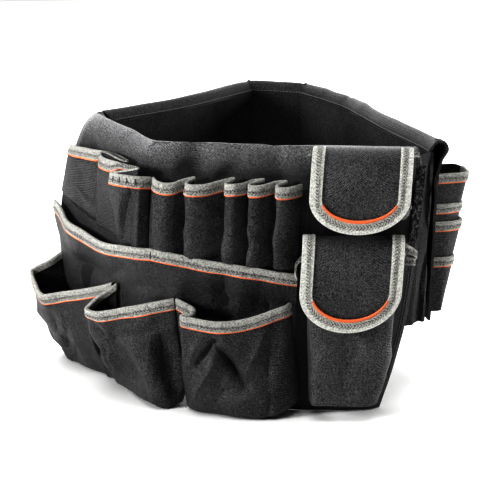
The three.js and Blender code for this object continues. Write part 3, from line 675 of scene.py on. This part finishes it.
# Pockets: a mouth that stands out from the skirt, a wall that hangs from it and a floor sewn to the skirt
def pocketPlace(rows, drape, base, floor, folds=(), size=(150.0, 90.0), slack=0.6, seed=1, floorShare=0.1,
                low=2.0):
    # columns: place along, out and height of the mouth, then the same of the foot. A row may give only the
    # foot's height, where it lies under the mouth, or nothing, where it lies at the floor's height.
    full = [row if len(row) == 6 else (*row[:3], *row[:2], *(row[3:] or (floor,))) for row in rows]
    table = np.array([(row[0] * rowRun, *row[1:]) for row in full], float)
    drops = np.array(drape, float)
    ends = (full[0][3], full[-1][3])

    def place(u, v):
        at, out, top, footAt, foot, footZ = readRun(table, u)
        at = at / rowRun
        down = 1 - np.clip((v - floorShare) / (1 - floorShare), 0, 1)
        inward = np.clip(1 - v / floorShare, 0, 1)
        reach = np.interp(down, drops[:, 0], drops[:, 1])
        settle = np.interp(down, drops[:, 0], drops[:, 2])
        stand = out + (foot - out) * settle
        stand = base + np.maximum(np.where(stand > 0, stand * reach, stand), low)
        z = top + (footZ - top) * down
        at = at + (footAt - at) * settle
        rootAt = ends[0] + (ends[1] - ends[0]) * u
        points = onWall(at + (rootAt - at) * inward, z, stand + (0.6 - stand) * inward)
        depth = creaseDepth(u, v, size, folds) + slack * slackness(u, v, size, seed)
        apart = np.minimum(1, np.minimum(u, 1 - u) * 14)
        still = apart * np.minimum(1, v * 6) * np.minimum(1, (1.02 - v) * 9)
        return pushOut(points, depth * still) if u.ndim == 2 and u.shape[0] > 2 else points

    return place


loopDrape = {
    "left": [(0, 1, 0), (0.2, 0.96, 0), (0.5, 0.66, 0), (0.8, 0.4, 0), (1, 0.3, 0)],
    "right": [(0, 1, 0), (0.3, 0.98, 0), (0.7, 0.86, 0), (1, 0.6, 0)],
}
loopMouths = {  # place along, out and height of the mouth at each bend of the strip, and height of the foot
    "left": [
        (0.62, 3.5, 192, 152), (0.9, 3.5, 193.5, 151), (1.19, 3.5, 195, 151), (1.43, 3.5, 197, 150),
        (1.7, 3.2, 199, 148), (1.86, 2.8, 200.4, 147), (2.05, 2.4, 202.4, 146), (2.3, 2.4, 203.4, 146),
        (2.52, 2.8, 203.4, 145), (2.64, 4, 203.2, 145), (2.66, 5, 203, 144), (2.56, 6.2, 203.2, 144),
        (2.3, 7.2, 204, 144), (2.15, 8.2, 204.2, 143), (2.09, 9.4, 203.6, 143), (2.1, 10.6, 202, 142),
        (2.17, 11.6, 200.8, 142), (2.3, 12, 200.4, 142), (2.5, 12.2, 201.4, 141), (2.7, 12.4, 202.6, 140),
        (2.87, 12.8, 203.2, 140), (3, 13, 203.4, 140), (3.05, 13.8, 203, 139), (2.97, 14.6, 201, 138),
        (2.8, 15.3, 197.8, 136), (2.67, 16.2, 195.4, 135), (2.64, 17.4, 194.8, 134),
        (2.72, 18.4, 195.2, 131), (2.9, 18.4, 196, 129), (3.01, 17, 196.2, 126), (3.09, 13, 195.6, 125),
        (3.14, 8, 194.8, 125), (3.17, 3.6, 194, 124)],
    "right": [
        (3.19, 3, 194.2), (3.31, 8.5, 192.7), (3.46, 11, 191.8), (3.58, 9.4, 192.2), (3.7, 5, 193.6),
        (3.92, 1.4, 195.4), (3.8, 7.5, 193.2), (3.81, 12, 192), (3.95, 14.5, 192), (4.16, 12, 192.2),
        (4.38, 5.5, 193.8), (4.64, 1.4, 195.8), (4.51, 7.5, 193.2), (4.53, 12.4, 192.8), (4.67, 14.6, 193.4),
        (4.83, 9.5, 193.2), (4.98, 4, 194.6), (5.18, 1.4, 195.4), (5.02, 6.5, 194), (4.94, 10, 193.4),
        (4.96, 13.8, 192.4), (5.1, 14, 192.5), (5.26, 9, 193), (5.38, 4, 193.8), (5.57, 1.4, 194.4),
        (5.47, 7, 193.2), (5.42, 10.5, 192.6), (5.46, 13.6, 191.4), (5.6, 13.4, 191.4), (5.75, 9, 191.8),
        (5.85, 2.8, 192)],
}
loopFolds = {
    "left": crumples(seed=61, count=8, spread=4.0, depth=1.2, box=(0.05, 0.1, 0.3, 0.85)) + [
        (0.258, 0.8, 0.258, 0.1, 2.6, -2.4), (0.928, 0.86, 0.886, 0.16, 2.6, -9.0),
        (0.9, 0.8, 0.868, 0.3, 3.0, 2.5), (0.955, 0.75, 0.93, 0.2, 3.0, 3.0)],
    "right": crumples(seed=62, count=26, spread=3.6, depth=2.4, box=(0.03, 0.05, 0.97, 0.8)),
}
loopNarrow = {
    "left": ((0, 0.248, 0.298, 0.556, 0.567, 0.64, 0.682, 0.808, 0.844, 1),
             (1, 1, 0.35, 0.35, 1, 1, 0.5, 0.45, 1, 1)),
    "right": ((0,), (1,)),
}
loopNodes = {
    "left": ["tool_loop_1", "tool_loop_2", "tool_loop_3"],
    "right": ["tool_loop_4", "tool_loop_5", "tool_loop_6", "tool_loop_7", "tool_loop_8"],
}
for side, rows in loopMouths.items():
    place = pocketPlace(rows, loopDrape[side], base=0.6, floor=124.0, folds=loopFolds[side], size=(220, 75),
                        slack=0.3, seed=11, floorShare=0.06, low=1.8)
    strip = fit(layCloth("toolLoops" + side.title(), 320, 40, place, bag["loop"]), "black_cloth",
                "black_cloth", *loopNodes[side])
    names = {"tape": "loop_tape_" + side, "piping": "loop_piping_" + side}
    trim = trimMouth("loop" + side.title(), place, 340, names, bag["loop"], narrow=loopNarrow[side],
                     inner=0.16)
    if side == "left":
        tacks = []
        for share in (0.868, 0.892, 0.914, 0.936):
            u = np.full(6, share)
            tacks.append(mouthLine(place, u, np.linspace(0.8, 6.2, 6), np.full(6, 1.2)))
        trim.append(sew("loopLeftTacks", tacks, "black_thread", "black_cloth",
                        {"long": 5.0, "pitch": 5.3, "wide": 1.0}))
print("tool loops laid")

# The inside of the middle row, seen over its mouth at the left: a dark sheet put there as painted shade
inside = {"from": 0.7, "to": 3.1, "low": 118.0, "high": 157.0, "fall": 14.0, "out": 1.3}


def insidePlace(u, v):
    high = inside["high"] - inside["fall"] * u
    at = inside["from"] + (inside["to"] - inside["from"]) * u
    return onWall(at, inside["low"] + (high - inside["low"]) * v, inside["out"])


# painted shade: a dark sheet where the middle row's inside shows only as shade
pocketShadeCloth = fit(layCloth("middleShadeCloth", 60, 16, insidePlace, 0.5), "lining_cloth", "lining_cloth")
middleDrape = [(0, 1, 0), (0.1, 0.9, 0), (0.28, 0.25, 0), (0.36, 0, 0), (1, 0, 0)]
middleMouths = {
    "left": [(0.58, 7, 141), (0.9, 7.2, 142), (1.15, 8, 142.6), (1.34, 9.4, 140.6), (1.57, 12, 136.5),
             (1.97, 13, 135.8), (2.47, 13, 134), (2.89, 10.5, 136.8), (3.12, 8.8, 137.2),
             (3.256, 7.5, 137.4)],
    "right": [(3.254, 7.5, 137.3), (3.5, 8.6, 135.5), (4.11, 9.4, 130.6), (5.01, 9.4, 125.2),
              (5.6, 8, 120.8), (5.86, 6.5, 119)],
}
middleFolds = {
    "left": crumples(seed=71, count=12, spread=6.0, depth=3.4, box=(0.3, 0.25, 0.95, 0.8)),
    "right": crumples(seed=72, count=12, spread=6.0, depth=3.4, box=(0.05, 0.25, 0.95, 0.8)) + [
        (0.5, 0.95, 0.47, 0.6, 6.0, -2.2), (0.62, 0.92, 0.6, 0.6, 6.0, 2.0),
        (0.76, 0.92, 0.72, 0.62, 6.0, -2.0)],
}
for side, rows in middleMouths.items():
    place = pocketPlace(rows, middleDrape, base=0.6, floor=30.0, folds=middleFolds[side], size=(130, 105),
                        slack=0.9, seed=21, floorShare=0.03, low=1.4)
    wall = fit(layCloth("middlePocket" + side.title(), 120, 46, place, bag["pocket"]), "black_cloth",
               "black_cloth", "middle_pocket_" + side)
    names = {"tape": "middle_tape_" + side, "piping": "middle_piping_" + side}
    trim = trimMouth("middle" + side.title(), place, 120, names)
    if side == "right":
        # the tapes of both sides meet under a bar of thread
        tack = mouthLine(place, np.full(6, 0.004), np.linspace(0.4, 7.4, 6), np.full(6, 1.1))
        trim.append(sew("middleTack", [tack], "black_thread", "black_cloth",
                        {"long": 6.4, "pitch": 6.6, "wide": 0.9}))
print("middle pockets laid")

cargoDrape = [(0, 1, 0), (0.45, 1.05, 0.42), (0.84, 1.02, 0.86), (1, 1, 1)]
cargoMouths = {
    "1": [(0.80, 2.2, 95, 0.62, 2.2, 2), (0.86, 14, 89, 0.63, 12, 2), (0.84, 28, 83, 0.64, 24, 1),
          (0.86, 32, 81, 0.67, 28, 1), (0.95, 33, 79, 0.76, 28.5, 1), (1.15, 34, 75, 0.95, 27.5, 1),
          (1.36, 35.5, 70, 1.1, 26, 1), (1.44, 34.5, 69, 1.2, 25, 1), (1.53, 29, 71, 1.36, 23, 1),
          (1.63, 21, 74, 1.5, 20.5, 1), (1.98, 11.5, 83, 1.85, 12, 1), (2.27, 7.4, 91, 2.2, 8, 2),
          (2.49, 5, 98, 2.46, 5, 3)],
    "2": [(2.56, 4, 99, 2.34, 4, 6), (2.5, 10, 93.5, 2.2, 5.5, 4), (2.45, 18.3, 88, 2.08, 7, 2),
          (2.45, 28.5, 81.5, 1.95, 8.2, 1), (2.46, 31.4, 80, 1.93, 8.6, 1), (2.5, 32, 79.2, 2.0, 9.2, 1),
          (2.61, 29.8, 79, 2.21, 9.6, 1), (2.75, 22.6, 82, 2.5, 10.2, 1), (2.9, 17, 86, 2.75, 11.2, 1),
          (3.05, 13, 89, 3.04, 13, 1), (3.22, 9.6, 92, 3.26, 15.6, 1), (3.42, 8, 94.5, 3.41, 10, 8),
          (3.6, 6, 96, 3.66, 3.6, 19)],
    "3": [(3.63, 5.5, 96, 3.7, 5, 13), (3.81, 9.5, 93.3, 3.72, 6, 10), (3.97, 13, 91, 3.74, 7.2, 8),
          (4.01, 16.4, 89.8, 3.74, 8, 7), (3.96, 20, 88.6, 3.7, 8.6, 6), (3.81, 20.8, 88.4, 3.65, 8.8, 5),
          (3.75, 22.6, 87.6, 3.63, 9.4, 4), (3.8, 24.2, 86.8, 3.67, 11.5, 2),
          (3.99, 24.8, 86, 3.81, 15.4, 1), (4.45, 26.5, 84, 4.38, 21.5, 1),
          (4.87, 22.5, 84.8, 4.98, 23.7, 1), (5.2, 18.6, 88, 5.38, 24, 2), (5.45, 14.8, 91.5, 5.62, 21.5, 5),
          (5.64, 12, 94, 5.86, 14, 9), (5.72, 9, 94.6, 5.97, 8.5, 12), (5.76, 5, 95, 6.02, 5, 14)],
}
cargoFolds = {  # crease lines in shares of the sheet: from, to, spread and depth in millimetres
    "1": [(0.517, 0.76, 0.55, 0.38, 5.0, -4.5), (0.683, 0.64, 0.711, 0.22, 6.0, 4.5),
          (0.62, 0.86, 0.62, 0.5, 5.0, 3.0)],
    "2": [(0.4, 0.8, 0.5, 0.6, 1.6, -3.0), (0.43, 0.7, 0.46, 0.4, 1.6, -2.6),
          (0.385, 0.84, 0.52, 0.58, 5.0, -5.0), (0.425, 0.62, 0.455, 0.18, 6.0, 5.0),
          (0.455, 0.2, 0.83, 0.18, 7.0, 4.5), (0.66, 0.8, 0.77, 0.14, 8.0, 6.0),
          (0.86, 0.78, 0.9, 0.24, 10.0, -8.0), (0.56, 0.7, 0.62, 0.4, 6.0, -2.0)],
    "3": [(0.5, 0.82, 0.42, 0.6, 1.6, -3.0), (0.51, 0.82, 0.66, 0.44, 1.6, -3.4),
          (0.43, 0.6, 0.47, 0.5, 1.6, -2.4), (0.5, 0.83, 0.415, 0.62, 4.2, -5.5),
          (0.512, 0.83, 0.67, 0.42, 4.2, -5.0), (0.415, 0.32, 0.51, 0.64, 5.0, 5.5),
          (0.385, 0.28, 0.76, 0.3, 8.0, 4.0), (0.56, 0.84, 0.7, 0.6, 6.0, 3.0),
          (0.86, 0.85, 0.8, 0.4, 6.0, -4.0)],
}
for number, rows in cargoMouths.items():
    folds = cargoFolds[number] + crumples(seed=80 + int(number), count=16, spread=5.5, depth=3.4,
                                          box=(0.3, 0.08, 0.95, 0.82))
    place = pocketPlace(rows, cargoDrape, base=0.0, floor=1.0, folds=folds, size=(150, 95), slack=1.0,
                        seed=30 + int(number), floorShare=0.12, low=2.2)
    wall = fit(layCloth("cargoPocket" + number, 180, 70, place, bag["pocket"]), "black_cloth", "black_cloth",
               "cargo_pocket_" + number)
    names = {"tape": "cargo_tape_" + number, "piping": "cargo_piping_" + number}
    trimMouth("cargo" + number, place, 200, names)
print("cargo pockets laid")

pouchDrape = [(0, 1, 0), (0.4, 1.0, 0.3), (0.85, 1.04, 0.85), (1, 1, 1)]
pouches = {
    "upper": {"floor": 170.0, "rows": [
        (6.1, 2, 196), (6.11, 8, 196), (6.18, 14, 196), (6.6, 17, 196), (7.3, 17, 196), (7.76, 14, 196),
        (7.86, 8, 196), (7.88, 2, 196)]},
    "lower": {"floor": 8.0, "rows": [
        (6.02, 2, 138, 6.2, 2, 12), (6.02, 9, 138, 6.24, 10, 12), (6.1, 14, 138, 6.3, 21, 13),
        (6.6, 16, 138, 6.7, 26, 14), (7.3, 16, 138, 7.3, 27, 14), (7.82, 15, 138, 7.72, 22, 14),
        (7.93, 9, 138, 7.78, 10, 15), (7.94, 2, 138, 7.8, 2, 16)]},
}
pouchFolds = [
    (0.62, 0.52, 0.84, 0.3, 9.0, 4.0), (0.56, 0.2, 0.86, 0.2, 9.0, 3.0), (0.42, 0.5, 0.5, 0.16, 16.0, -2.5),
    (0.88, 0.5, 0.9, 0.3, 9.0, 4.0)]
for level, look in pouches.items():
    high = look["rows"][0][2] - look["floor"]
    folds = crumples(seed=90, count=5, spread=8.0, depth=1.6, box=(0.12, 0.08, 0.9, 0.6)) + pouchFolds
    place = pocketPlace(look["rows"], pouchDrape, base=0.6, floor=look["floor"], folds=folds,
                        size=(120, high), slack=0.8, seed=41, floorShare=0.12)
    wall = fit(layCloth(level + "PouchCloth", 130, 70, place, bag["pocket"]), "flap_cloth_painted_light", "black_cloth",
               level + "_pouch")
    names = {"tape": level + "_pouch_tape"}
    trimMouth(level + "Pouch", place, 110, names, piping=False)
print("pouches laid")

# Flaps: cloth that falls from its hinge over a pouch, with a round end
flaps = {
    "upper": {"middle": 6.945, "half": 39.8, "top": 222.6, "sides": 187.5, "round": 28.5,
              "fall": [(-8.5, 0.1), (2, 0.2), (9, 2.4), (16, 8), (20.5, 17), (23.5, 30), (26, 48),
                       (27.5, 66)]},
    "lower": {"middle": 6.9, "half": 40.6, "top": 154.0, "sides": 112.0, "round": 33.0,
              "fall": [(3.4, 8), (5, 2.4), (12, 0.5), (18, 3.5), (22.5, 11), (26, 25), (28.5, 48),
                       (30, 75)]},
}
flapTrim = {"tape": 10.2, "start": 10.0, "sewn": 2.0, "piping": 1.6, "pipingFrom": 0.31, "pipingRun": 0.38}


def flapSurface(look):
    # a spot of the flap from its distance across and its run down from the hinge, moved off its face
    out, down = readRun(np.array(look["fall"], float), np.linspace(0, 1, 400))
    run = np.concatenate([[0], np.cumsum(np.hypot(np.diff(out), np.diff(down)))])
    slopeOut, slopeDown = np.gradient(out, run), np.gradient(down, run)

    def spot(x, s, off):
        leanOut, leanDown = np.interp(s, run, slopeOut), np.interp(s, run, slopeDown)
        z = look["top"] - np.interp(s, run, down) + leanOut * off
        reach = np.interp(s, run, out) + leanDown * off
        low = np.minimum(z, bag["rim"])
        at = np.full_like(z, look["middle"])
        line = skirtPlan(at + 0.002, low) - skirtPlan(at - 0.002, low)
        line /= np.linalg.norm(line, axis=-1, keepdims=True)
        away = np.stack([line[..., 1], -line[..., 0]], -1)
        plan = skirtPlan(at, low) + away * reach[..., None] + line * x[..., None]
        return np.concatenate([plan, z[..., None]], -1)

    def runAt(z):
        crest = np.argmin(down)
        return float(np.interp(look["top"] - z, down[crest:], run[crest:]))

    return spot, runAt(look["sides"]), runAt(look["sides"] - look["round"])


def flapEdge(look, straight, end, share, inset, start):
    # a spot along the flap's free edge, down one side, round the end and up the other
    half, deep = look["half"] - inset, end - straight - inset
    side = straight - start
    arc = math.pi * (half + deep) / 2
    s = share * (2 * side + arc)
    turn = np.clip((s - side) / arc, 0, 1) * math.pi
    x = -half * np.cos(turn)
    run = np.where(s < side, start + s, np.where(s > side + arc, start + 2 * side + arc - s, straight))
    return x, run + deep * np.sin(turn)


for level, look in flaps.items():
    spot, straight, end = flapSurface(look)
    inset = 1.2

    def clothPlace(u, v):
        x = (2 * u - 1) * (look["half"] - inset)
        lean = np.clip(x / (look["half"] - inset), -1, 1)
        last = straight + (end - straight - inset) * np.sqrt(np.maximum(1 - lean**2, 0))
        bulge = 0.8 * (1 - lean**2) * np.sin(np.pi * np.clip(v, 0, 1))
        return spot(x, (1 - v) * last, bulge + 0.25 * slackness(u, v, (80, 75), 50))

    cloth = fit(layCloth(level + "FlapCloth", 60, 60, clothPlace, bag["pocket"]), "flap_cloth_painted_light",
                "black_cloth", level + "_flap")
    wide, start = flapTrim["tape"], flapTrim["start"]
    section = np.array([(wide, 0.5), (wide * 0.6, 0.55), (wide * 0.25, 0.55), (0.4, 0.4), (0, -0.8),
                        (0.4, -2.0), (wide * 0.4, -2.15), (wide, -2.1)])

    def tapePlace(u, v):
        share = np.linspace(0, 1, len(section))
        deep, off = np.interp(v, share, section[:, 0]), np.interp(v, share, section[:, 1])
        x, s = flapEdge(look, straight, end, u, deep, start)
        return spot(x, s, off + 0.8)

    def pipingPlace(u, v):
        shown = 0.5 + flapTrim["piping"] * np.sin(np.pi * u) ** 0.8
        share = flapTrim["pipingFrom"] + flapTrim["pipingRun"] * u
        x, s = flapEdge(look, straight, end, share, wide + shown * (1 - v) - 0.6, start)
        return spot(x, s, 1.5 + 0.4 * np.sin(np.pi * v))

    trim = [fit(layCloth(level + "FlapTape", 150, 14, tapePlace, 0.9, side=1.0), "flap_tape", "grey_tape",
                level + "_flap_tape"),
            fit(layCloth(level + "FlapPiping", 60, 6, pipingPlace, 0.6), "orange_piping", "orange_piping",
                level + "_flap_piping")]
    u = np.linspace(0.01, 0.99, 400)
    x, s = flapEdge(look, straight, end, u, np.full_like(u, wide - flapTrim["sewn"]), start)
    line = spot(x, s, np.full_like(u, 2.35))
    away = spot(x, s, np.full_like(u, 3.35)) - line
    trim.append(sew(level + "FlapStitches", [(line, away)], "grey_thread", "grey_tape"))
print("flaps laid")

# Nested sleeves on the back skirt, and the strips by the right slot
sleeveDrape = [(0, 1, 0), (0.3, 0.8, 0), (0.6, 0.55, 0), (1, 0.26, 0)]
sleeves = [(190.0, 27.0), (164.0, 21.0), (149.0, 18.0), (118.0, 10.0)]
nest = {"from": 10.0, "to": 10.36, "wider": (0.03, 0.036), "apart": 3.0, "floor": 86.0, "drop": 5.0}
for layer, (top, out) in enumerate(sleeves):
    number = str(layer + 1)
    first, last = nest["from"] - nest["wider"][0] * layer, nest["to"] + nest["wider"][1] * layer
    if layer:
        span = 0.97
        rows = [(first, -1.2 - nest["apart"] * layer, top), (first + 0.03, 0.45 * out, top),
                (first + 0.14, out, top), (last - 0.14, out, top), (last - 0.03, 0.6 * out, top),
                (last, 2, top)]
    else:
        # the first sleeve stands open, with its far edge in sight
        span = 0.56
        rows = [(first, -1.2, top), (first + 0.02, 0.5 * out, top), (first + 0.05, 0.9 * out, top),
                (first + 0.1, out, top), (last - 0.08, out, top + 2), (last - 0.03, 0.88 * out, top + 3),
                (last, 0.5 * out, top + 3), (last, 2, top + 2)]
    place = pocketPlace(rows, sleeveDrape, base=0.6 + nest["apart"] * layer,
                        floor=nest["floor"] - nest["drop"] * layer, size=(60, 90), slack=0.2, seed=60,
                        floorShare=0.06, low=-20.0)
    wall = fit(layCloth("toolSleeve" + number, 60, 40, place, bag["pocket"]), "black_cloth", "black_cloth",
               "tool_sleeve_" + number)
    names = {"tape": "tool_sleeve_tape_" + number, "piping": "tool_sleeve_piping_" + number}
    trimMouth("sleeve" + number, place, 60, names, width=6.0, span=span)


hook = {"from": 8.1, "run": 0.26, "low": 146.0, "high": 62.0, "out": 2.2}
hinge = {"from": 5.92, "run": 2.24, "round": 9.6, "start": 0.2, "turn": 0.55}


def hookPlace(u, v):
    return onWall(hook["from"] + hook["run"] * u, hook["low"] + hook["high"] * v, hook["out"] + 0 * u)


def hingePlace(u, v):
    turn = (hinge["start"] + hinge["turn"] * v) * math.pi / 4
    z = bag["rim"] - bag["fold"] + hinge["round"] * np.sin(turn)
    return onWall(hinge["from"] + hinge["run"] * u, z, hinge["round"] * np.cos(turn) - bag["fold"])


hookStrip = fit(layCloth("hookStripCloth", 24, 60, hookPlace, 1.6), "hook_cloth", "hook_cloth", "hook_strip")
hingeTape = fit(layCloth("hingeTapeCloth", 80, 8, hingePlace, 1.0), "grey_tape", "grey_tape", "hinge_tape")
print("sleeves and strips laid")

# Seams of the skirts: each is a line from one place of the sheet to another, along it or up it
seams = {
    "frontSkirtSeams": (frontPlace, [
        (0.01, 0.966, 0.99, 0.966), (0.01, 0.012, 0.96, 0.012), (0.986, 0.06, 0.986, 0.9),
        (0.976, 0.06, 0.976, 0.9), (0.7, 0.55, 0.7, 0.86), (0.012, 0.05, 0.012, 0.93)]),
    "backSkirtSeams": (backPlace, [
        (0.01, 0.015, 0.99, 0.015), (0.012, 0.04, 0.012, 0.94), (0.026, 0.5, 0.026, 0.94),
        (0.986, 0.04, 0.986, 0.94)]),
    "backFoldSeam": (backPlace, [(0.01, 0.988, 0.99, 0.988)]),
    "innerSkirtSeams": (ringPlace, [(0.01, 0.04, 0.99, 0.04)]),
    "innerPatchSeam": (ringPlace, [(0.8, 0.7, 0.88, 0.7)]),
}


def seamLine(place, ends, off):
    # points along the seam and the ways out of the cloth, read from a narrow grid beside it
    fromU, fromV, toU, toV = ends
    count = 500
    beside = np.array([-0.003, 0.0, 0.003])
    if fromV == toV:
        u, v = np.meshgrid(np.linspace(fromU, toU, count), fromV + beside)
        points = place(u, v)
        away = np.cross(np.gradient(points, axis=1), np.gradient(points, axis=0))[1]
        points = points[1]
    else:
        u, v = np.meshgrid(fromU + beside, np.linspace(fromV, toV, count))
        points = place(u, v)
        away = np.cross(np.gradient(points, axis=1), np.gradient(points, axis=0))[:, 1]
        points = points[:, 1]
    away /= np.linalg.norm(away, axis=-1, keepdims=True) + 1e-9
    return points + away * off, away


for name, (place, lines) in seams.items():
    runs = [seamLine(place, ends, 0.25) for ends in lines]
    thread = "fold_thread" if name in ("backFoldSeam", "innerPatchSeam") else "black_thread"
    sew(name, runs, thread, "black_cloth", {"long": 2.3, "pitch": 3.2, "wide": 0.7})

# Loose ends of tape that stick out by the pouches: width at both ends, then place along, out and height
tapeEnds = {
    "middleTapeEnd": (4.4, 4.4, [(5.84, 8, 121), (5.8, 12, 127), (5.82, 15, 133), (5.9, 16, 137.5),
                                 (5.98, 14, 137), (6.0, 9, 133)]),
    "pouchTapeEndUpper": (7.4, 4.0, [(7.84, 21, 150), (7.98, 24, 146), (8.06, 20, 141.5), (7.98, 14, 140)]),
    "pouchTapeEndLower": (7.4, 4.0, [(7.84, 19, 139.5), (8.0, 22, 138), (8.07, 17, 136), (7.98, 11, 133)]),
}
for name, (wide, slim, rows) in tapeEnds.items():
    table = np.array([(row[0] * rowRun, *row[1:]) for row in rows], float)

    def endPlace(u, v):
        at, out, top = readRun(table, u)
        return onWall(at / rowRun, top - (wide + (slim - wide) * u) * (1 - v), out)

    fit(layCloth(name, 36, 8, endPlace, 1.6), "grey_tape", "grey_tape")
